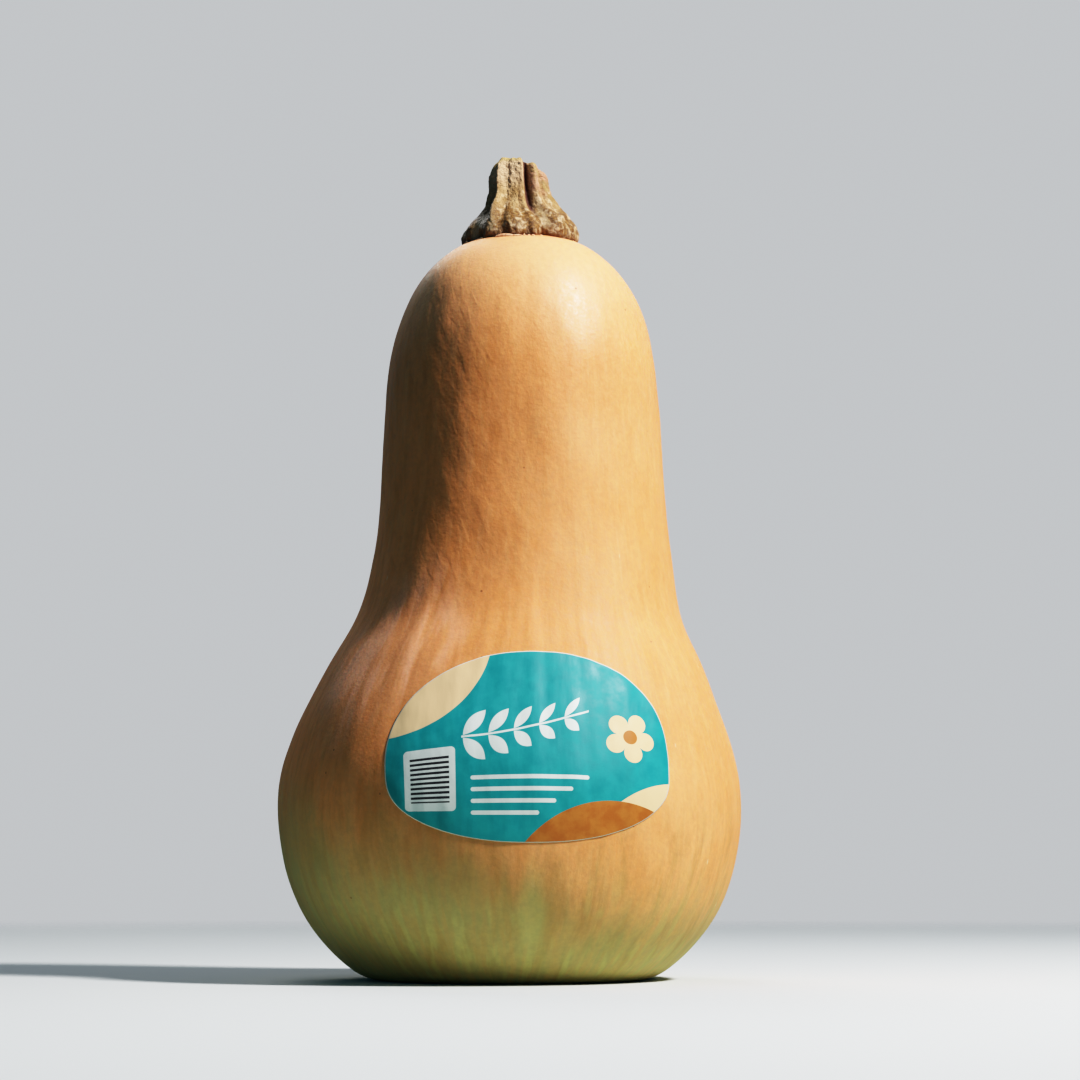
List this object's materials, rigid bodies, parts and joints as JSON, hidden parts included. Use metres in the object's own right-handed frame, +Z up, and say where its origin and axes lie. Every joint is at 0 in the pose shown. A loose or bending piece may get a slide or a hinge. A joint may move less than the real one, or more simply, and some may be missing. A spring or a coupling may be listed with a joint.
{
  "type": "butternut squash",
  "caption": "Pear-shaped butternut squash with a long thick neck, a ribbed dry stem on a flared foot, and an oval paper label.",
  "frame": {"origin": "on the table under the middle of the squash, at the centre of its bounding box in X and Y", "axes": "+Z up from the blossom end to the stem, -Y out of the middle of the label's side, +X to the right of a viewer who faces the label"},
  "size_m": [0.115, 0.1141, 0.2058],
  "materials": {
    "skin": "satin",
    "stem": "matte",
    "label": "satin"
  },
  "bodies": {
    "root": {"squash_body": "skin", "stem": "stem", "label": "label"}
  },
  "joints": []
}
